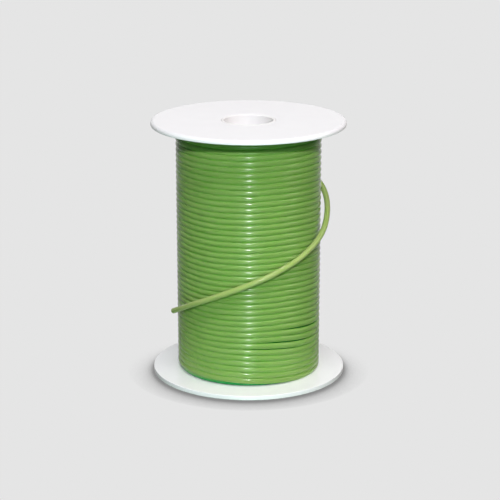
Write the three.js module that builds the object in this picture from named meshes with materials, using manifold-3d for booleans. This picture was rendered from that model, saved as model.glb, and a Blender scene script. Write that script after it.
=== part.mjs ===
// A wire spool: two white plastic flanges on a barrel, wound full of green round wire, with the free
// end of the wire laid down across the winding.
//
// Millimetres. +Z runs up the spool's axis. The origin is the centre of the lower flange's outer
// face, on which the spool stands. The side that is seen first faces -Y, and +X is on its right.

import * as THREE from 'three';
import { mergeVertices } from 'three/addons/utils/BufferGeometryUtils.js';
import Module from 'manifold-3d';

const wasm = await Module();
wasm.setup();

// ---- Driving dimensions: the spool -------------------------------------------------------------

const SPOOL_H = 134;            // over both flanges
const FLANGE_D = 100;           // both flanges
const FLANGE_T = 2.4;           // a flange's plate
const RIM_OUTER_ROUND = 1.7;    // rounding of the rim's edge on the outer face
const RIM_INNER_ROUND = 0.6;    // and on the face towards the wire
const HUB_RECESS_D = 37.5;      // shallow recess round the bore, in a flange's outer face
const HUB_RECESS_DEPTH = 0.3;
const BARREL_D = 37;            // tube that the wire is wound on
const BARREL_WALL = 1.6;
const BORE_D = 25;              // hole for the rod that the spool turns on
const SLEEVE_WALL = 1.4;        // tube that lines the bore
const MOUTH_CHAMFER = 0.6;      // at both mouths of the bore
const SPIGOT_LENGTH = 6;        // collar of a flange that plugs into the barrel
const SPIGOT_WALL = 1.4;
const GLUE_GAP = 0.1;           // between pieces that are cemented together

// ---- Driving dimensions: the wire --------------------------------------------------------------

const WIRE_D = 2.98;
const WINDING_D = 74.8;         // over the outer layer of turns
const LIE_GAP = 0.3;            // between wire and what it lies on
const LOOPS = 24;               // rows of the outer layer
const ROW_GAP = 0.45;           // between one row and the next
const STEPS_PER_LOOP = 24;
const SIDES = 6;
const ROW_START_DEG = 10;       // where the lowest row begins, and where every later row is reached
const CROSSOVER_DEG = 90;       // turn over which the wire climbs from one row to the next
const LAYER_END_DEG = 130;      // where the top row hands over to the free end
const START_HOLE_CLEARANCE = 0.3;
const START_HOLE_DEG = 90;
const START_HOLE_HEIGHT = 20;   // above the lower flange's inner face

// Route of the free end, chosen by hand from the photographed wire: turn about the axis in degrees,
// distance of the wire's middle from the axis, and height.
const TAIL_ROUTE = [
  [124.7, 36.05, 129.1], [119, 36.4, 128.9], [113, 37.3, 128.5], [107, 38.4, 127.7],
  [100.5, 39.15, 126.3], [94, 39.35, 124.5], [88, 39.35, 122.6], [76, 39.35, 118.6],
  [64, 39.35, 114.4], [52, 39.35, 110], [41, 39.35, 105.5], [32, 39.35, 101.7],
  [24, 39.7, 98.2], [16, 40.4, 95], [8, 40.7, 91.5], [1, 40.7, 88.2],
  [-6, 40.6, 85], [-13, 40.5, 81.8], [-19, 40.35, 79.1], [-25, 40.1, 76.7],
  [-32, 39.7, 74.1], [-40, 39.35, 71.5], [-53, 39.35, 67.7], [-64, 39.35, 64.7],
  [-74, 39.35, 61.8], [-84, 39.35, 59.1], [-94, 39.35, 56.3], [-104, 39.35, 53.4],
  [-119, 39.35, 48.9], [-134, 39.35, 44.3], [-147, 39.4, 40.2], [-156, 39.75, 37.4],
  [-163.7, 40.5, 35.1],
];
const TAIL_STEP = 2.4;          // length of a facet, in wire diameters
const TAIL_SIDES = 8;

// ---- Facets ------------------------------------------------------------------------------------

const ROUND = 72;               // sides of the spool's round pieces
const RIM_STEPS = 4;            // facets in each rounded edge

// ---- Sizes that follow -------------------------------------------------------------------------

const flangeR = FLANGE_D / 2;
const boreR = BORE_D / 2;
const sleeveR = boreR + SLEEVE_WALL;
const barrelR = BARREL_D / 2;
const barrelInnerR = barrelR - BARREL_WALL;
const wireR = WIRE_D / 2;
const floorZ = FLANGE_T;                         // inner face of the lower flange
const ceilingZ = SPOOL_H - FLANGE_T;             // inner face of the upper flange
const rowR = WINDING_D / 2 - wireR;              // middle of the outer layer's wire

// The rows share the height between the flanges, so a row is wider along the axis than the round
// wire is, and as thick as the wire is across the layer.
const rowPitch = (ceilingZ - floorZ - 2 * LIE_GAP + ROW_GAP) / LOOPS;
const rowWidth = rowPitch - ROW_GAP;
const lowestRowZ = floorZ + LIE_GAP + rowWidth / 2;

// The layers under the outer one: a plain core that the outer layer's flat facets just clear.
const coreR = (rowR - wireR) * Math.cos(Math.PI / STEPS_PER_LOOP) - LIE_GAP;

// ---- Materials ---------------------------------------------------------------------------------

const white = { color: 0xf1f2f4, roughness: 0.35, metalness: 0 };
const ivory = { color: 0xe9eaea, roughness: 0.45, metalness: 0 };
const green = { color: 0x74a84f, roughness: 0.4, metalness: 0 };
const paleGreen = { color: 0x96b763, roughness: 0.4, metalness: 0 };

// ---- Helpers -----------------------------------------------------------------------------------

const group = new THREE.Group();

function add(name, geometry, look, z = 0, turnOver = false) {
  const mesh = new THREE.Mesh(geometry, new THREE.MeshStandardMaterial(look));
  mesh.name = name;
  mesh.position.z = z;
  if (turnOver) mesh.rotation.x = Math.PI;
  group.add(mesh);
}

// A closed profile of [radius, height] pairs, counter-clockwise, turned round the Z axis.
function turned(profile) {
  const points = [...profile, profile[0]].map(([r, z]) => new THREE.Vector2(r, z));
  return new THREE.LatheGeometry(points, ROUND).rotateX(Math.PI / 2);
}

// A ring with a rectangular section.
function ring(innerR, outerR, fromZ, toZ) {
  return turned([[innerR, fromZ], [outerR, fromZ], [outerR, toZ], [innerR, toZ]]);
}

function solid(geometry) {
  const bare = geometry.clone();
  bare.deleteAttribute('normal');
  bare.deleteAttribute('uv');
  const merged = mergeVertices(bare);
  return new wasm.Manifold(new wasm.Mesh({
    numProp: 3,
    vertProperties: new Float32Array(merged.attributes.position.array),
    triVerts: new Uint32Array(merged.index.array),
  }));
}

function geometryOf(body) {
  const mesh = body.getMesh();
  const geometry = new THREE.BufferGeometry();
  geometry.setAttribute('position', new THREE.BufferAttribute(mesh.vertProperties, 3));
  geometry.setIndex(new THREE.BufferAttribute(mesh.triVerts, 1));
  geometry.computeVertexNormals();
  return geometry;
}

// The point at a turn about the axis, a distance from it and a height.
function polar(degrees, radius, z) {
  const turn = THREE.MathUtils.degToRad(degrees);
  return new THREE.Vector3(radius * Math.cos(turn), radius * Math.sin(turn), z);
}

// The direction in which the wire runs at a turn about the axis: clockwise, seen from above.
function clockwise(degrees) {
  return polar(degrees - 90, 1, 0);
}

// An unbroken tube along a list of points, closed at both ends. Each ring of corners lies square to
// the path, `across` from corner to opposite corner away from the axis and `along` wide beside it.
function sweptTube(path, sides, across, along) {
  const halfAlong = along / 2 / Math.sin(Math.floor(sides / 4 + 0.5) * 2 * Math.PI / sides);
  const corners = [];
  path.forEach((point, i) => {
    const before = path[Math.max(i - 1, 0)];
    const after = path[Math.min(i + 1, path.length - 1)];
    const ahead = after.clone().sub(before).normalize();
    const axial = new THREE.Vector3(0, 0, 1).addScaledVector(ahead, -ahead.z).normalize();
    const outward = new THREE.Vector3().crossVectors(ahead, axial);
    if (outward.dot(point) < 0) outward.negate();
    for (let k = 0; k < sides; k++) {
      const turn = k * 2 * Math.PI / sides;
      corners.push(point.clone()
        .addScaledVector(outward, across / 2 * Math.cos(turn))
        .addScaledVector(axial, halfAlong * Math.sin(turn)));
    }
  });
  return { geometry: skin(corners, path.length, sides), corners };
}

// Triangles over rings of corners, with a fan over each end.
function skin(corners, rings, sides) {
  const index = [];
  for (let i = 0; i < rings - 1; i++) {
    for (let k = 0; k < sides; k++) {
      const a = i * sides + k;
      const b = i * sides + (k + 1) % sides;
      index.push(a, b, a + sides, b, b + sides, a + sides);
    }
  }
  const last = (rings - 1) * sides;
  for (let k = 1; k < sides - 1; k++) {
    index.push(0, k + 1, k, last, last + k, last + k + 1);
  }
  const geometry = new THREE.BufferGeometry();
  geometry.setAttribute('position',
    new THREE.BufferAttribute(new Float32Array(corners.flatMap((c) => [c.x, c.y, c.z])), 3));
  geometry.setIndex(index);
  geometry.computeVertexNormals();
  return geometry;
}

// ---- The spool ---------------------------------------------------------------------------------

// A flange with its outer face at z = 0: a plate with a rounded rim, a hole for the sleeve's end and
// a collar that plugs into the barrel.
function flange() {
  const holeR = sleeveR + GLUE_GAP;
  const spigotR = barrelInnerR - GLUE_GAP;
  const recessR = HUB_RECESS_D / 2;
  const profile = [[holeR, HUB_RECESS_DEPTH], [recessR - HUB_RECESS_DEPTH, HUB_RECESS_DEPTH], [recessR, 0]];
  const rimEdges = [[RIM_OUTER_ROUND, RIM_OUTER_ROUND, -90], [RIM_INNER_ROUND, FLANGE_T - RIM_INNER_ROUND, 0]];
  for (const [round, middleZ, fromDeg] of rimEdges) {
    for (let i = 0; i <= RIM_STEPS; i++) {
      const turn = THREE.MathUtils.degToRad(fromDeg + 90 * i / RIM_STEPS);
      profile.push([flangeR - round + round * Math.cos(turn), middleZ + round * Math.sin(turn)]);
    }
  }
  profile.push([spigotR, FLANGE_T], [spigotR, FLANGE_T + SPIGOT_LENGTH]);
  profile.push([spigotR - SPIGOT_WALL, FLANGE_T + SPIGOT_LENGTH], [spigotR - SPIGOT_WALL, FLANGE_T]);
  profile.push([holeR, FLANGE_T]);
  return turned(profile);
}

// The tube that lines the bore, from recess to recess, with a chamfered mouth at each end.
function arborSleeve() {
  const low = HUB_RECESS_DEPTH;
  const high = SPOOL_H - HUB_RECESS_DEPTH;
  return turned([
    [boreR + MOUTH_CHAMFER, low], [sleeveR, low], [sleeveR, high], [boreR + MOUTH_CHAMFER, high],
    [boreR, high - MOUTH_CHAMFER], [boreR, low + MOUTH_CHAMFER],
  ]);
}

// A round bar that lies along the start hole, from one distance from the axis to another.
function startHoleBar(diameter, fromR, toR) {
  const bar = new THREE.CylinderGeometry(diameter / 2, diameter / 2, toR - fromR, 16);
  bar.rotateZ(-Math.PI / 2).translate((fromR + toR) / 2, 0, 0);
  bar.rotateZ(THREE.MathUtils.degToRad(START_HOLE_DEG)).translate(0, 0, floorZ + START_HOLE_HEIGHT);
  return bar;
}

// The drum that carries the winding, with the hole that the wire's inner end is pushed through.
function barrel() {
  const tube = ring(barrelInnerR, barrelR, floorZ + GLUE_GAP, ceilingZ - GLUE_GAP);
  const hole = startHoleBar(WIRE_D + 2 * START_HOLE_CLEARANCE, barrelInnerR - 1, barrelR + 1);
  return geometryOf(solid(tube).subtract(solid(hole)));
}

// The wire's inner end, from the arbor sleeve out through the barrel's wall to the first turns.
function wireStart() {
  return startHoleBar(WIRE_D, sleeveR + LIE_GAP, barrelR);
}

// ---- The winding -------------------------------------------------------------------------------

const lowestRowStart = polar(ROW_START_DEG, rowR, lowestRowZ);

// The layers under the outer one, as a plain core, with the wire that climbs out of it to the
// outer layer's lowest row.
function innerLayers() {
  const core = ring(barrelR + LIE_GAP, coreR, floorZ + LIE_GAP, ceilingZ - LIE_GAP);
  const back = clockwise(ROW_START_DEG).negate();
  const face = lowestRowStart.clone().addScaledVector(back, WIRE_D + LIE_GAP);
  const climb = [
    face,
    face.clone().addScaledVector(back, wireR),
    polar(ROW_START_DEG + 12, coreR, lowestRowZ),
    polar(ROW_START_DEG + 18, coreR - WIRE_D, lowestRowZ),
  ].reverse();
  return geometryOf(solid(core).add(solid(sweptTube(climb, TAIL_SIDES, WIRE_D, WIRE_D).geometry)));
}

// The outer layer: one wire that goes round clockwise as it rises. Each row lies flat, and the wire
// climbs to the next one in a quarter of a turn at the back.
function outerLayerPath() {
  const stepDeg = 360 / STEPS_PER_LOOP;
  const crossoverStart = ROW_START_DEG + CROSSOVER_DEG;
  const topRowTurns = (360 + ROW_START_DEG - LAYER_END_DEG) / 360;
  const steps = Math.round((LOOPS - 1 + topRowTurns) * STEPS_PER_LOOP);
  const path = [];
  for (let i = 0; i <= steps; i++) {
    const degrees = ROW_START_DEG - i * stepDeg;
    const turns = (crossoverStart - degrees) / 360;
    const row = Math.floor(turns);
    const climbed = THREE.MathUtils.smoothstep((turns - row) * 360 / CROSSOVER_DEG, 0, 1);
    const rows = row === 0 ? 0 : row - 1 + climbed;
    path.push(polar(degrees, rowR, lowestRowZ + rows * rowPitch));
  }
  // Both ends run straight for one wire diameter.
  path.unshift(path[0].clone().addScaledVector(clockwise(ROW_START_DEG), -WIRE_D));
  path.push(path.at(-1).clone().addScaledVector(clockwise(ROW_START_DEG - steps * stepDeg), WIRE_D));
  return path;
}

// The least distance between corners of the tube that lie at least half a loop apart along it.
function leastGap(corners, sides, ringsApart) {
  let least = Infinity;
  for (let i = 0; i < corners.length; i++) {
    const from = (Math.floor(i / sides) + ringsApart) * sides;
    const to = Math.min(from + 2 * STEPS_PER_LOOP * sides, corners.length);
    for (let k = from; k < to; k++) {
      least = Math.min(least, corners[i].distanceTo(corners[k]));
    }
  }
  return least;
}

function outerLayer() {
  const { geometry, corners } = sweptTube(outerLayerPath(), SIDES, WIRE_D, rowWidth);
  const gap = leastGap(corners, SIDES, STEPS_PER_LOOP / 2);
  console.log(`outer layer: least gap to itself ${gap.toFixed(2)} mm`);
  return geometry;
}

// ---- The free end ------------------------------------------------------------------------------

function tail() {
  const route = new THREE.CatmullRomCurve3(TAIL_ROUTE.map(([degrees, r, z]) => polar(degrees, r, z)));
  const section = new THREE.Shape();
  for (let k = 0; k < TAIL_SIDES; k++) {
    const turn = (k + 0.5) * 2 * Math.PI / TAIL_SIDES;
    const corner = [wireR * Math.cos(turn), wireR * Math.sin(turn)];
    if (k === 0) section.moveTo(...corner);
    else section.lineTo(...corner);
  }
  const steps = Math.round(route.getLength() / (TAIL_STEP * WIRE_D));
  console.log(`free end: ${(route.getLength() / 1000).toFixed(3)} m long, ${steps} facets`);
  return new THREE.ExtrudeGeometry(section, { steps, extrudePath: route, curveSegments: 1 });
}

// ---- The assembly ------------------------------------------------------------------------------

add('lower_flange', flange(), white);
add('upper_flange', flange(), white, SPOOL_H, true);
add('barrel', barrel(), ivory);
add('arbor_sleeve', arborSleeve(), ivory);
add('wire_start', wireStart(), green);
add('wire_inner_layers', innerLayers(), green);
add('wire_outer_layer', outerLayer(), green);
add('wire_tail', tail(), paleGreen);

export default group;
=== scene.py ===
# %% [markdown]
# # A spool of green wire
#
# A white plastic spool stands on its lower flange, wound full of green round wire. The free end of
# the wire comes off the top turn at the back and lies down across the winding. This notebook dresses
# the measured parts in their real surfaces: the moulded flanges, the sleeve in the bore, every turn
# of the outer layer, and the free end. All lengths are metres, +Z is up along the spool's axis, and
# the photographer stands on the -Y side.

import math

import bmesh
import bpy
import numpy as np
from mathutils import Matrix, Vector, kdtree
from mathutils.geometry import interpolate_bezier


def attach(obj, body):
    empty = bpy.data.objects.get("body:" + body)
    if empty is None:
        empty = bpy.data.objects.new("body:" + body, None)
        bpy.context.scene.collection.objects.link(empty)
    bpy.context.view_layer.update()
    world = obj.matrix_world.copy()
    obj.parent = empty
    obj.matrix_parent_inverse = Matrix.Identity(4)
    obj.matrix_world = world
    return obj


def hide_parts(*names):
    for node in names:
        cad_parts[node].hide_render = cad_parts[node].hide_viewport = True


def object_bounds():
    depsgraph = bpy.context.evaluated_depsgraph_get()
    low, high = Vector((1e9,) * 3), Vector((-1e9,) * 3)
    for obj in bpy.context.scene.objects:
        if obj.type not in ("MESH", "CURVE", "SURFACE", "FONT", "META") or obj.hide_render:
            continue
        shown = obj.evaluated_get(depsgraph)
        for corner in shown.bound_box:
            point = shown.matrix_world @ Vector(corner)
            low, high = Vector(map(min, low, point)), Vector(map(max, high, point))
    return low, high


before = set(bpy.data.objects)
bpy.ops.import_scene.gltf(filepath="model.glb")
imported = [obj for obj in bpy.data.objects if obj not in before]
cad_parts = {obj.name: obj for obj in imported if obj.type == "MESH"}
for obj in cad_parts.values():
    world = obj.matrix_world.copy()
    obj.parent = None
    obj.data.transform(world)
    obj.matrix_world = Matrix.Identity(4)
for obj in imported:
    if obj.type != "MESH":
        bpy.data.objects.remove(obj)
cad_low, cad_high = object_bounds()
MM = 0.001
print("parts:", sorted(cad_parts))

# %% [markdown]
# ## The camera
#
# The picture was taken from a little above, with a long lens. The two flanges are circles, so the
# shape of their outlines gives the distance, the height and the tilt of the camera. It is set before
# anything else, because everything after it is judged through it.

# %% The camera
PICTURE_SIDE = 500              # pixels
FOCAL_LENGTH = 1815             # pixels
AXIS_COLUMN = 248.6             # pixel column of the spool's axis
CAMERA_PLACE = (0, -907 * MM, 327.7 * MM)
CAMERA_DIP = math.radians(16.18)

lens = bpy.data.cameras.new("camera")
lens.sensor_width = 36
lens.lens = FOCAL_LENGTH / PICTURE_SIDE * lens.sensor_width
lens.shift_x = (PICTURE_SIDE / 2 - AXIS_COLUMN) / PICTURE_SIDE
camera = bpy.data.objects.new("camera", lens)
camera.location = CAMERA_PLACE
camera.rotation_euler = (math.pi / 2 - CAMERA_DIP, 0, 0)
bpy.context.scene.collection.objects.link(camera)
bpy.context.scene.camera = camera
print(f"lens {lens.lens:.1f} mm")

# %% [markdown]
# ## The free end of the wire
#
# The wire's free end is a real length of a springy strand, so its route is fixed before its looks.
# The points are the ones that the measured parts use: a turn about the axis in degrees, a distance
# from the axis and a height. A Bezier curve with automatic handles runs smoothly through all of
# them, and a round bevel gives the curve the strand's thickness.

# %% The route of the free end
WIRE_R = 1.49 * MM
TAIL_STEPS = 10                 # points between two of the route's
TAIL_ROUTE = [
    (124.7, 36.05, 129.1), (119, 36.4, 128.9), (113, 37.3, 128.5), (107, 38.4, 127.7),
    (100.5, 39.15, 126.3), (94, 39.35, 124.5), (88, 39.35, 122.6), (76, 39.35, 118.6),
    (64, 39.35, 114.4), (52, 39.35, 110), (41, 39.35, 105.5), (32, 39.35, 101.7),
    (24, 39.7, 98.2), (16, 40.4, 95), (8, 40.7, 91.5), (1, 40.7, 88.2),
    (-6, 40.6, 85), (-13, 40.5, 81.8), (-19, 40.35, 79.1), (-25, 40.1, 76.7),
    (-32, 39.7, 74.1), (-40, 39.35, 71.5), (-53, 39.35, 67.7), (-64, 39.35, 64.7),
    (-74, 39.35, 61.8), (-84, 39.35, 59.1), (-94, 39.35, 56.3), (-104, 39.35, 53.4),
    (-119, 39.35, 48.9), (-134, 39.35, 44.3), (-147, 39.4, 40.2), (-156, 39.75, 37.4),
    (-163.7, 40.5, 35.1),
]


def polar(degrees, radius, z):
    """The point at a turn about the axis, a distance from it and a height."""
    turn = math.radians(degrees)
    return Vector((radius * math.cos(turn), radius * math.sin(turn), z))


def link(name, data):
    piece = bpy.data.objects.new(name, data)
    bpy.context.scene.collection.objects.link(piece)
    return piece


def closed_tube(name, draft):
    """Turns a bevelled curve into a closed mesh, with its end caps merged on and its faces turned
    outwards."""
    depsgraph = bpy.context.evaluated_depsgraph_get()
    mesh = bpy.data.meshes.new_from_object(draft.evaluated_get(depsgraph))
    bpy.data.objects.remove(draft)
    bm = bmesh.new()
    bm.from_mesh(mesh)
    bmesh.ops.remove_doubles(bm, verts=bm.verts[:], dist=0.001 * MM)
    bmesh.ops.recalc_face_normals(bm, faces=bm.faces[:])
    for face in bm.faces:
        face.smooth = True
    bm.to_mesh(mesh)
    bm.free()
    mesh.set_sharp_from_angle(angle=math.radians(50))
    mesh.name = name
    return link(name, mesh)


tail_points = [polar(turn, radius * MM, z * MM) for turn, radius, z in TAIL_ROUTE]
tail_line = bpy.data.curves.new("free_end_line", "CURVE")
tail_line.dimensions = "3D"
tail_line.resolution_u = TAIL_STEPS
tail_line.bevel_depth = WIRE_R
tail_line.bevel_resolution = 5
tail_line.use_fill_caps = True
spline = tail_line.splines.new("BEZIER")
spline.bezier_points.add(len(tail_points) - 1)
for knot, place in zip(spline.bezier_points, tail_points):
    knot.co = place
    knot.handle_left_type = knot.handle_right_type = "AUTO"
draft = link("free_end_line", tail_line)
bpy.context.view_layer.update()
tail_path = [tail_points[0]]
for a, b in zip(spline.bezier_points[:-1], spline.bezier_points[1:]):
    tail_path += interpolate_bezier(a.co, a.handle_right, b.handle_left, b.co, TAIL_STEPS + 1)[1:]

free_end = closed_tube("free_end", draft)
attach(free_end, "root")
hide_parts("wire_tail")

# %% [markdown]
# ## Helpers for finishes
#
# Colours are picked as sRGB hex values, the way a paint program shows them, but a shader works in
# linear light, so one function turns them over. A second small function adds a node with its
# settings and links, which keeps each material as short as its real recipe.


# %% Colour and node helpers
# A Mix node's colour sockets share their names with its number sockets, so they go by place.
MIX_A, MIX_B, MIX_RESULT = 6, 7, 2


def linear(hex_colour):
    """A colour such as "74a84f" as linear RGBA."""
    parts = [int(hex_colour[i:i + 2], 16) / 255 for i in (0, 2, 4)]
    return [c / 12.92 if c <= 0.04045 else ((c + 0.055) / 1.055) ** 2.4 for c in parts] + [1]


def node(material, kind, settings=None, **sockets):
    """Adds a node. A socket is given a plain value, or another node's output to link from."""
    made = material.node_tree.nodes.new(kind)
    for name, value in (settings or {}).items():
        setattr(made, name, value)
    for name, value in sockets.items():
        socket = made.inputs[name.replace("_", " ")]
        if isinstance(value, bpy.types.NodeSocket):
            material.node_tree.links.new(value, socket)
        else:
            socket.default_value = value
    return made


def material(name):
    """A material with its nodes and only an output in it."""
    made = bpy.data.materials.new(name)
    made.use_nodes = True
    made.node_tree.nodes.clear()
    return made


def finish_with(made, shader):
    output = node(made, "ShaderNodeOutputMaterial")
    made.node_tree.links.new(shader.outputs[0], output.inputs["Surface"])


# %% [markdown]
# ## Moulded white polystyrene
#
# Spools like this are injection moulded in high-impact polystyrene filled with titanium white. The
# eye gets three things from that: a clean, faintly cool white, a soft gloss, and a very slight
# waviness of the reflections from the mould's hand-polished steel. Polystyrene's IOR is 1.59. The
# plastic lets a little light in, so thin edges look soft.


# %% Moulded white polystyrene
def moulded_polystyrene():
    made = material("moulded_polystyrene")
    place = node(made, "ShaderNodeTexCoord").outputs["Object"]
    # Polish marks: a gentle swell about 9 mm across, and a finer skin of about 0.5 mm.
    swell = node(made, "ShaderNodeTexNoise", Vector=place, Scale=1 / (9 * MM), Detail=2.0)
    skin = node(made, "ShaderNodeTexNoise", Vector=place, Scale=1 / (0.5 * MM), Detail=3.0)
    gloss = node(made, "ShaderNodeMapRange", Value=swell.outputs["Fac"], To_Min=0.29, To_Max=0.33)
    tint = node(made, "ShaderNodeMix", {"data_type": "RGBA"}, Factor=swell.outputs["Fac"])
    tint.inputs[MIX_A].default_value = linear("efeff0")
    tint.inputs[MIX_B].default_value = linear("f4f4f5")
    broad = node(made, "ShaderNodeBump", Height=swell.outputs["Fac"], Strength=0.05,
                 Distance=0.2 * MM)
    fine = node(made, "ShaderNodeBump", Height=skin.outputs["Fac"], Strength=0.08,
                Distance=0.02 * MM, Normal=broad.outputs["Normal"])
    shader = node(made, "ShaderNodeBsdfPrincipled", Base_Color=tint.outputs[MIX_RESULT],
                  Roughness=gloss.outputs["Result"], Normal=fine.outputs["Normal"], IOR=1.59)
    finish_with(made, shader)
    return made


# %% [markdown]
# ## Milky white polypropylene
#
# The tube in the bore is extruded from unfilled polypropylene, so its skin is duller than the moulded
# plastic: a plain white with a broad, weak gloss, which keeps the bore bright right round. Its IOR is
# 1.49.


# %% Milky white polypropylene
def milky_polypropylene():
    made = material("milky_polypropylene")
    shader = node(made, "ShaderNodeBsdfPrincipled", Base_Color=linear("f1f0ee"), Roughness=0.45,
                  IOR=1.49)
    finish_with(made, shader)
    return made


# %% [markdown]
# ## Extruded green wire
#
# The strand is a soft plastic, green right through and slightly translucent, with a skin that
# reflects weakly, so its IOR is set well under hard PVC's 1.54. It leaves a round die still warm,
# which makes the skin smooth, with faint lengthwise drifts of colour and gloss.
#
# A turn's green is painted to shift over its width. A paler, clearer green is painted where it dips
# towards its neighbour and on its lower flank: painted light, standing in for light that comes
# through from the next turn. A deep green is painted on the flats, where two turns press each other,
# and
# further in: painted shade. The wound strand carries that place as an attribute called "crest". The
# free end is the same strand seen alone, with one paler green of its own, a lit copy: painted light.


# %% Extruded green wire
# The painted shade: a darker copy of the wire's green, for the flats between the turns, the tucked-in
# first turn and the layers below.
PAINTED_SHADE_HEX = "1e9448"


def extruded_strand(name, crest_hex, groove_painted_light_hex):
    made = material(name)
    place = node(made, "ShaderNodeTexCoord").outputs["Object"]
    # Drifts of the colour master batch, about 7 mm long, and the die's fine skin.
    drift = node(made, "ShaderNodeTexNoise", Vector=place, Scale=1 / (7 * MM), Detail=2.0)
    skin = node(made, "ShaderNodeTexNoise", Vector=place, Scale=1 / (0.6 * MM), Detail=2.0)
    crest = node(made, "ShaderNodeAttribute", {"attribute_name": "crest"})
    # The groove's paler green is painted light where less real light falls. The crest's green is the
    # wire's own, and the lower the crest value, the more painted light.
    height = node(made, "ShaderNodeMapRange", {"interpolation_type": "SMOOTHSTEP"},
                  Value=crest.outputs["Fac"], From_Max=0.8)
    tint = node(made, "ShaderNodeMix", {"data_type": "RGBA"}, Factor=height.outputs["Result"])
    tint.inputs[MIX_A].default_value = linear(groove_painted_light_hex)
    tint.inputs[MIX_B].default_value = linear(crest_hex)
    depth = node(made, "ShaderNodeMapRange", Value=drift.outputs["Fac"], To_Min=0.96, To_Max=1.04)
    # Painted shade: below a crest value of -0.4 the colour goes over to the deep green, on the flats
    # and further in.
    pressed = node(made, "ShaderNodeMapRange", Value=crest.outputs["Fac"], From_Min=-1.0,
                   From_Max=-0.4)
    painted_shade_mix = node(made, "ShaderNodeMix", {"data_type": "RGBA"}, Factor=pressed.outputs["Result"])
    painted_shade_mix.inputs[MIX_A].default_value = linear(PAINTED_SHADE_HEX)
    made.node_tree.links.new(tint.outputs[MIX_RESULT], painted_shade_mix.inputs[MIX_B])
    body = node(made, "ShaderNodeVectorMath", {"operation": "SCALE"}, Scale=depth.outputs["Result"])
    made.node_tree.links.new(painted_shade_mix.outputs[MIX_RESULT], body.inputs[0])
    gloss = node(made, "ShaderNodeMapRange", Value=drift.outputs["Fac"], To_Min=0.14, To_Max=0.18)
    fine = node(made, "ShaderNodeBump", Height=skin.outputs["Fac"], Strength=0.1,
                Distance=0.03 * MM)
    shader = node(made, "ShaderNodeBsdfPrincipled", Base_Color=body.outputs["Vector"],
                  Roughness=gloss.outputs["Result"], Normal=fine.outputs["Normal"], IOR=1.37,
                  Subsurface_Weight=1.0, Subsurface_Scale=2 * MM)
    shader.inputs["Subsurface Radius"].default_value = (0.8, 1.0, 0.7)
    finish_with(made, shader)
    return made


white = moulded_polystyrene()
milky = milky_polypropylene()
# The winding's green: its crest colour is the wire's own, and its groove colour is painted light.
winding_green_and_painted_light = extruded_strand("extruded_strand", "81a456", "90c660")
# A lit copy of the wire's green, painted light: the free end is painted paler because more light
# falls on it.
free_end_painted_lit_green = extruded_strand("extruded_strand_free_painted_lit", "9fb36b", "9fb36b")
# A darker copy of the wire's green: painted shade for the layers below and the core.
painted_shade_strand = extruded_strand("extruded_strand_painted_shade", PAINTED_SHADE_HEX, PAINTED_SHADE_HEX)


def dress(piece, made):
    piece.data.materials.clear()
    piece.data.materials.append(made)


dress(free_end, free_end_painted_lit_green)
for name, made in (("barrel", white), ("wire_start", winding_green_and_painted_light)):
    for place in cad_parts[name].material_slots:
        place.material = made

# %% [markdown]
# ## The flanges
#
# Each flange is a turned shape: a thin plate with a rounded rim, a shallow recess round the bore and
# a collar underneath that plugs into the barrel. Turning a profile is what a spin does. The profile
# is drawn with sharp corners, spun once round the axis, and then the sharp rings are rounded with a
# bevel, as the mould's maker breaks every edge.

# %% A turned piece
FLANGE_R = (cad_high.x - cad_low.x) / 2
SPOOL_H = cad_high.z
FLANGE_T = 2.4 * MM
RIM_OUTER_ROUND = 1.7 * MM
FOOT_ROUND = 0.5 * MM            # the edge that the spool stands on is crisper
RIM_INNER_ROUND = 0.3 * MM
HUB_DISH_R = 18.75 * MM
HUB_DISH_DEPTH = 0.3 * MM
SLEEVE_R = 13.9 * MM
BORE_R = 12.5 * MM
GLUE_GAP = 0.1 * MM
SPIGOT_R = 16.8 * MM
SPIGOT_WALL = 1.4 * MM
SPIGOT_LENGTH = 6 * MM
HOLE_ROUND = 0.25 * MM
SPIGOT_ROUND = 0.4 * MM
BARREL_R = 18.5 * MM
TURN_STEPS = 240


def turned(name, profile, breaks):
    """Spins a closed profile of (radius, height) points. `breaks` gives a rounding radius for each
    point's ring by its place in the profile, and a segment count."""
    bm = bmesh.new()
    corners = [bm.verts.new((r, 0, z)) for r, z in profile]
    edges = [bm.edges.new((a, b)) for a, b in zip(corners, corners[1:] + corners[:1])]
    bmesh.ops.spin(bm, geom=corners + edges, axis=(0, 0, 1), cent=(0, 0, 0), use_merge=True,
                   angle=2 * math.pi, steps=TURN_STEPS)
    bmesh.ops.remove_doubles(bm, verts=bm.verts[:], dist=1e-7)
    bmesh.ops.recalc_face_normals(bm, faces=bm.faces[:])
    for index, (radius, segments) in breaks.items():
        r, z = profile[index]
        ring = [e for e in bm.edges
                if all(abs(v.co.z - z) < 1e-6 and abs(v.co.xy.length - r) < 1e-6 for v in e.verts)]
        bmesh.ops.bevel(bm, geom=ring, offset=radius, offset_type="OFFSET", segments=segments,
                        profile=0.5, affect="EDGES", material=-1)
    for face in bm.faces:
        face.smooth = True
    mesh = bpy.data.meshes.new(name)
    bm.to_mesh(mesh)
    bm.free()
    mesh.set_sharp_from_angle(angle=math.radians(40))
    piece = link(name, mesh)
    even = piece.modifiers.new("even_shading", "WEIGHTED_NORMAL")
    even.weight = 100
    even.keep_sharp = True
    return piece


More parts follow.
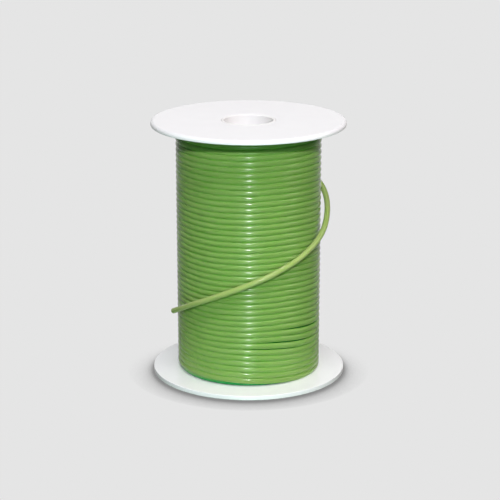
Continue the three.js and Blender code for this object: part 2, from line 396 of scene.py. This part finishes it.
# %% The two flanges
def flange(name, outer_z, inwards, outer_round):
    """A flange whose outer face lies at outer_z. `inwards` is +1 for the lower one and -1 for the
    upper one, and `outer_round` rounds the edge of its outer face."""
    hole_r = SLEEVE_R + GLUE_GAP
    profile = [
        (hole_r, HUB_DISH_DEPTH), (HUB_DISH_R, 0), (FLANGE_R, 0), (FLANGE_R, FLANGE_T),
        (SPIGOT_R, FLANGE_T), (SPIGOT_R, FLANGE_T + SPIGOT_LENGTH),
        (SPIGOT_R - SPIGOT_WALL, FLANGE_T + SPIGOT_LENGTH), (SPIGOT_R - SPIGOT_WALL, FLANGE_T),
        (hole_r, FLANGE_T),
    ]
    breaks = {0: (HOLE_ROUND, 3), 2: (outer_round, 8), 3: (RIM_INNER_ROUND, 6),
              5: (SPIGOT_ROUND, 2), 6: (SPIGOT_ROUND, 2)}
    placed = [(r, outer_z + inwards * z) for r, z in profile]
    piece = turned(name, placed, breaks)
    dress(piece, white)
    return piece


lower = flange("moulded_lower_flange", 0, 1, FOOT_ROUND)
upper = flange("moulded_upper_flange", SPOOL_H, -1, RIM_OUTER_ROUND)
for piece, node_name in ((lower, "lower_flange"), (upper, "upper_flange")):
    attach(piece, "root")
    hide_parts(node_name)

# %% [markdown]
# ## The sleeve in the bore
#
# The bore is lined by a tube that runs from recess to recess. Its chamfered mouth makes the thin
# bright ring round the hole.

# %% The sleeve in the bore
CHAMFER = 0.25 * MM
SLEEVE_ROUND = 0.2 * MM
sleeve_low, sleeve_high = HUB_DISH_DEPTH, SPOOL_H - HUB_DISH_DEPTH
mouth_r = BORE_R + CHAMFER
sleeve = turned("bore_sleeve", [
    (mouth_r, sleeve_low), (SLEEVE_R, sleeve_low), (SLEEVE_R, sleeve_high), (mouth_r, sleeve_high),
    (BORE_R, sleeve_high - CHAMFER), (BORE_R, sleeve_low + CHAMFER),
], {1: (SLEEVE_ROUND, 2), 2: (SLEEVE_ROUND, 2)})
dress(sleeve, milky)
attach(sleeve, "root")
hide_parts("arbor_sleeve")

# %% [markdown]
# ## How a layer is wound
#
# The winding machine lays each turn flat against the last one and then crosses over to the next
# place in about a quarter of a turn. On this spool the crossover sits on the right for the upper
# turns, and walks round to the front for the lowest ones, where the rows visibly step down. A layer
# is one long helix with those steps in it, so a formula gives its height at any turn. Where one
# crossover lies well to the side of the next, the two turns part and leave a gap, dark with real
# shade and with the painted shade of the layer below: there are three of those low on the right.
# The first turn of all lies on the flange, tucked in under the next one, and is painted the deep
# green of the painted shade, so it shows only as a dark green line at the winding's foot.
# The soft strand doesn't stay round in a tight winding. Neighbouring turns press each other flat on
# two sides, and the crests bulge a little outwards, so the winding looks smoother than stacked rods.

# %% The wound layers
TURNS = 42                      # in the outer layer
PITCH = 2.964 * MM
TOP_TURN_Z = 127.6 * MM
LOWEST_TURN_Z = TOP_TURN_Z - (TURNS - 1) * PITCH
PRESSED_R = 1.85 * MM           # radius of the wire's crest where the turns press each other flat
TOUCH = math.sqrt(1 - (PITCH / 2 / PRESSED_R) ** 2)   # how far out the turns touch, as a share
# Painted light on the lower flank: the crest's middle is set a little above the strand's middle, so
# the lower flank takes more of the groove's paler painted green.
LOWER_FLANK_PAINTED_LIGHT = 0.25               # the crest's middle lies a little above the strand's middle
STEPS = 96                      # points in one turn
# The layer is a little fuller at the top: its radius at the lowest and at the highest turn.
LAYER_R_LOW, LAYER_R_TOP = 35.34 * MM, 35.59 * MM
# All turns ride a little higher where they cross the crossovers of the layer below: how much, where
# its middle is and how wide it is, in degrees to the right of the front, and from what height on.
RIDE_UP, RIDE_MIDDLE, RIDE_WIDTH = 0.45 * MM, 25, 20
RIDE_FROM, RIDE_FULL = 10 * MM, 25 * MM
# A turn's height in millimetres, then where its crossover's middle sits and how wide the crossover
# is, in degrees to the right of the front.
CROSSOVERS = [
    (9, 26, 125), (15, 28, 105), (18.2, 28, 95), (21.2, 26, 85), (24.1, 34, 75),
    (27.1, 46, 70), (30.1, 49, 70), (33.1, 64, 75), (36, 67, 90), (39, 71, 90),
    (60, 72, 90), (81, 77, 90), (101, 84, 90), (114, 88, 90), (122, 100, 90),
]
crossover_heights, crossover_middles, crossover_spans = np.transpose(CROSSOVERS)


def smooth_step(x):
    x = np.clip(x, 0, 1)
    return x * x * (3 - 2 * x)


def layer_heights(travel):
    """Heights along the outer layer after `travel` degrees clockwise from the front, as seen from
    above. The first turn would lie one place below the lowest one, but the flange holds it up."""
    height = np.full_like(travel, LOWEST_TURN_Z - PITCH)
    for crossing in range(TURNS):
        reached = (LOWEST_TURN_Z + crossing * PITCH) / MM
        middle = np.interp(reached, crossover_heights, crossover_middles)
        span = np.interp(reached, crossover_heights, crossover_spans)
        start = 360 * crossing - middle - span / 2
        height += PITCH * smooth_step((travel - start) / span)
    off_middle = (travel + RIDE_MIDDLE + 180) % 360 - 180
    share = smooth_step((height - RIDE_FROM) / (RIDE_FULL - RIDE_FROM))
    height += RIDE_UP * share * np.exp(-0.5 * (off_middle / RIDE_WIDTH) ** 2)
    return np.maximum(height, FLANGE_T + WIRE_R)


def drawn_line(name, points, closed=False):
    """A curve object of straight steps through the points."""
    line = bpy.data.curves.new(name, "CURVE")
    line.dimensions = "3D"
    spline = line.splines.new("POLY")
    spline.points.add(len(points) - 1)
    spline.points.foreach_set("co", np.c_[points, np.ones(len(points))].ravel())
    spline.use_cyclic_u = closed
    return link(name, line)


def pressed_section(sides):
    """The wire's section in a layer: a round cut flat on two sides, where the next turns press."""
    angles = np.linspace(0, 2 * np.pi, sides, endpoint=False) + np.pi / sides
    outwards, along_axis = PRESSED_R * np.cos(angles), PRESSED_R * np.sin(angles)
    return np.c_[outwards, np.clip(along_axis, -PITCH / 2, PITCH / 2), np.zeros(sides)]


def wound_strand(name, points, sides):
    """A pressed wire through closely spaced points, as a closed mesh. Its attribute "crest" is 1 on
    the crest of an outer turn, falls to 0 where the turns touch, and goes on falling further in."""
    section = drawn_line(name + "_section", pressed_section(sides), closed=True)
    draft = drawn_line(name + "_line", points)
    draft.data.twist_mode = "Z_UP"
    draft.data.bevel_mode = "OBJECT"
    draft.data.bevel_object = section
    draft.data.use_fill_caps = True
    strand = closed_tube(name, draft)
    bpy.data.objects.remove(section)
    centres = kdtree.KDTree(len(points))
    for index, point in enumerate(points):
        centres.insert(point, index)
    centres.balance()
    crest = strand.data.attributes.new("crest", "FLOAT", "POINT")
    for corner, share in zip(strand.data.vertices, crest.data):
        nearest = centres.find(corner.co)[0]
        # Points tucked in under the layer's face, like the first turn, fall below 0 and take the
        # painted shade's deep green.
        outwards = (corner.co.xy.length - max(nearest.xy.length, LAYER_R_LOW)) / PRESSED_R
        upwards = (corner.co.z - nearest.z) / (PITCH / 2)
        share.value = (outwards - TOUCH) / (1 - TOUCH) + LOWER_FLANK_PAINTED_LIGHT * upwards
    return strand


def around(travel, radius, height):
    """Points at a travel clockwise from the front; 0 is -Y and 90 is -X."""
    turn = np.radians(-90 - travel)
    return np.c_[radius * np.cos(turn), radius * np.sin(turn), height]


# %% The outer layer
OUTER_START = -465              # degrees of travel, where the wire comes up from the layer below
EMERGES_IN = 60                 # degrees of travel
OUTER_SIDES = 20                # corners of the strand's section
# The first turn lies on the flange, tucked in under the next one, and moves out to the layer's face.
TUCKED_IN = 1.5 * MM
MOVES_OUT_FROM, MOVES_OUT_IN = -400, 370     # degrees of travel
JOIN_SPAN = 60                  # degrees over which the last turn rises to meet the free end
NEST = math.sqrt((2 * WIRE_R) ** 2 - (PITCH / 2) ** 2)   # how far apart nested layers lie

tail_turn, tail_radius, tail_z = TAIL_ROUTE[0]
outer_end = 360 * (TURNS - 1) + (-90 - tail_turn) % 360
travel = np.linspace(OUTER_START, outer_end, int((outer_end - OUTER_START) / 360 * STEPS))
height = layer_heights(travel)
radius = np.interp(height, [LOWEST_TURN_Z, TOP_TURN_Z], [LAYER_R_LOW, LAYER_R_TOP])
radius -= (NEST - TUCKED_IN) * (1 - smooth_step((travel - OUTER_START) / EMERGES_IN))
radius -= TUCKED_IN * (1 - smooth_step((travel - MOVES_OUT_FROM) / MOVES_OUT_IN))
joined = smooth_step((travel - outer_end + JOIN_SPAN) / JOIN_SPAN)
height += joined * (tail_z * MM - TOP_TURN_Z)
radius += joined * (tail_radius * MM - LAYER_R_TOP)
outer = wound_strand("outer_layer", around(travel, radius, height), OUTER_SIDES)
dress(outer, winding_green_and_painted_light)
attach(outer, "root")
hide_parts("wire_outer_layer")
print(f"outer layer {len(travel)} points, {len(outer.data.polygons)} faces")

# %% [markdown]
# ## The layers below
#
# Only the layer just under the outer one is ever seen, through the gaps between the turns. It is
# wound the other way up the spool, because the wire goes down in one layer and comes back up in the
# next, so its turns cross the outer ones at a slight angle. It is painted a darker copy of the wire's
# green: painted shade. A plain core, painted the same shade, stands for the layers that nobody can
# see.

# %% The layers below
BELOW_LOW, BELOW_TOP = FLANGE_T + WIRE_R, SPOOL_H - FLANGE_T - WIRE_R
BELOW_STEPS = 60                # points in one turn
BELOW_SIDES = 10                # corners of the strand's section
below_r = LAYER_R_LOW - NEST
turns_below = (BELOW_TOP - BELOW_LOW) / PITCH
below_travel = np.linspace(OUTER_START - 360 * turns_below, OUTER_START,
                           int(turns_below * BELOW_STEPS))
below_height = np.linspace(BELOW_TOP, BELOW_LOW, len(below_travel))
below = wound_strand("layer_below", around(below_travel, below_r, below_height), BELOW_SIDES)
core_inner_r = BARREL_R + GLUE_GAP
core_low, core_high = FLANGE_T + GLUE_GAP, SPOOL_H - FLANGE_T - GLUE_GAP
core = turned("hidden_layers", [
    (core_inner_r, core_low), (below_r, core_low), (below_r, core_high), (core_inner_r, core_high),
], {})
for piece in (below, core):
    dress(piece, painted_shade_strand)
    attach(piece, "root")
    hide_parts("wire_inner_layers")

# %% [markdown]
# ## Floor
#
# The spool stands on a plain pale floor. The paper glows evenly, as a product photographer's lit
# table does, and a painted contact shade darkens its glow close to the rim that stands on it.
# Ambient Occlusion measures how much of the room each point of the paper sees, and scales the glow
# down by it. Most of the room's light comes from the wall behind, so the occlusion looks that way,
# and the painted shade is deepest in front of the rim. The light that the table throws back on the
# spool is set with the lamps below, so the paper itself lights nothing.

# %% Floor
PAPER_GREY = "e5e5e5"
PAPER_REACH = 6                 # metres from the spool to the paper's edge, past every view
# The painted contact shade on the paper: how far it reaches, how dark it gets, and its least value.
PAINTED_SHADE_REACH = 14 * MM         # how far from the rim its shade is felt
PAINTED_SHADE_DEPTH = 2.8             # an exponent: more is darker close to the rim
PAINTED_SHADE_LEAST = 0.34            # what the rim itself throws back into its own shade

floor_mesh = bpy.data.meshes.new("floor")
bm = bmesh.new()
bmesh.ops.create_grid(bm, x_segments=1, y_segments=1, size=PAPER_REACH)
bm.to_mesh(floor_mesh)
bm.free()
floor = link("floor", floor_mesh)
floor.location.z = -0.02 * MM    # just clear of the face that the spool stands on
paper = material("table_paper_painted_shade")
to_the_wall = node(paper, "ShaderNodeCombineXYZ", Y=0.75, Z=0.66).outputs["Vector"]
# Painted shade: the paper's glow is scaled down by ambient occlusion near the spool.
painted_contact_shade = node(paper, "ShaderNodeAmbientOcclusion", {"samples": 16}, Distance=PAINTED_SHADE_REACH,
               Normal=to_the_wall)
shade = node(paper, "ShaderNodeMath", {"operation": "POWER"})
paper.node_tree.links.new(painted_contact_shade.outputs["AO"], shade.inputs[0])
shade.inputs[1].default_value = PAINTED_SHADE_DEPTH
at_least = node(paper, "ShaderNodeMath", {"operation": "MAXIMUM"})
paper.node_tree.links.new(shade.outputs["Value"], at_least.inputs[0])
at_least.inputs[1].default_value = PAINTED_SHADE_LEAST
finish_with(paper, node(paper, "ShaderNodeEmission", Color=linear(PAPER_GREY),
                        Strength=at_least.outputs["Value"]))
dress(floor, paper)
floor.visible_diffuse = floor.visible_glossy = floor.visible_shadow = False

# %% [markdown]
# ## The room and the lamps
#
# Each turn of wire carries one small highlight straight in front, and the upper flange throws a crisp
# shade over three turns, so the key lamp is small and stands a little above the camera. The white
# faces are seen at a low angle and mirror the bright wall behind the spool. A large lamp high up and
# two weak ones beside the spool soften the rest, and one from below stands for the light that the
# table and the lower turns throw back, which makes it slightly green.

# %% The room and the lamps
ROOM_BACK = 0.88                # brightness of the wall behind the spool, as a share of white
WALL_FALLOFF = 3                # an exponent: more is a narrower wall
LAMP_REACH = 2.5                # metres from the spool to each lamp


def lamp(name, azimuth, elevation, size, brightness, colour):
    """A round lamp aimed at the spool, as bright as `brightness` times white paper facing it."""
    aim = Vector((0, 0, SPOOL_H / 2))
    rise = math.radians(elevation)
    away = polar(azimuth - 90, math.cos(rise), math.sin(rise))
    light = bpy.data.lights.new(name, "AREA")
    light.shape = "DISK"
    light.size = size
    light.energy = brightness * (math.pi * LAMP_REACH) ** 2
    light.color = linear(colour)[:3]
    holder = link(name, light)
    holder.location = aim + away * LAMP_REACH
    holder.rotation_euler = (-away).to_track_quat("-Z", "Y").to_euler()


lamp("key", 0, 28.5, 0.12, 0.8, "f6f7ff")
lamp("front_high", 0, 70, 1.2, 0.57, "ffffff")
lamp("right_soft", 80, 33, 1.2, 0.24, "ffeae2")
lamp("left_soft", -112, 25, 1.2, 0.04, "fff2cc")
lamp("table_bounce", 0, -25, 1.4, 0.34, "c6ffdc")

world = bpy.data.worlds.new("soft_room")
world.use_nodes = True
direction = node(world, "ShaderNodeSeparateXYZ",
                 Vector=node(world, "ShaderNodeTexCoord").outputs["Generated"])
towards_wall = node(world, "ShaderNodeMath", {"operation": "POWER", "use_clamp": True})
world.node_tree.links.new(direction.outputs["Y"], towards_wall.inputs[0])
towards_wall.inputs[1].default_value = WALL_FALLOFF
wall = node(world, "ShaderNodeMapRange", Value=towards_wall.outputs["Value"], To_Max=ROOM_BACK)
backdrop = world.node_tree.nodes["Background"]
world.node_tree.links.new(wall.outputs["Result"], backdrop.inputs["Strength"])
backdrop.inputs["Color"].default_value = (1, 1, 1, 1)
bpy.context.scene.world = world
bpy.context.scene.view_settings.view_transform = "Standard"
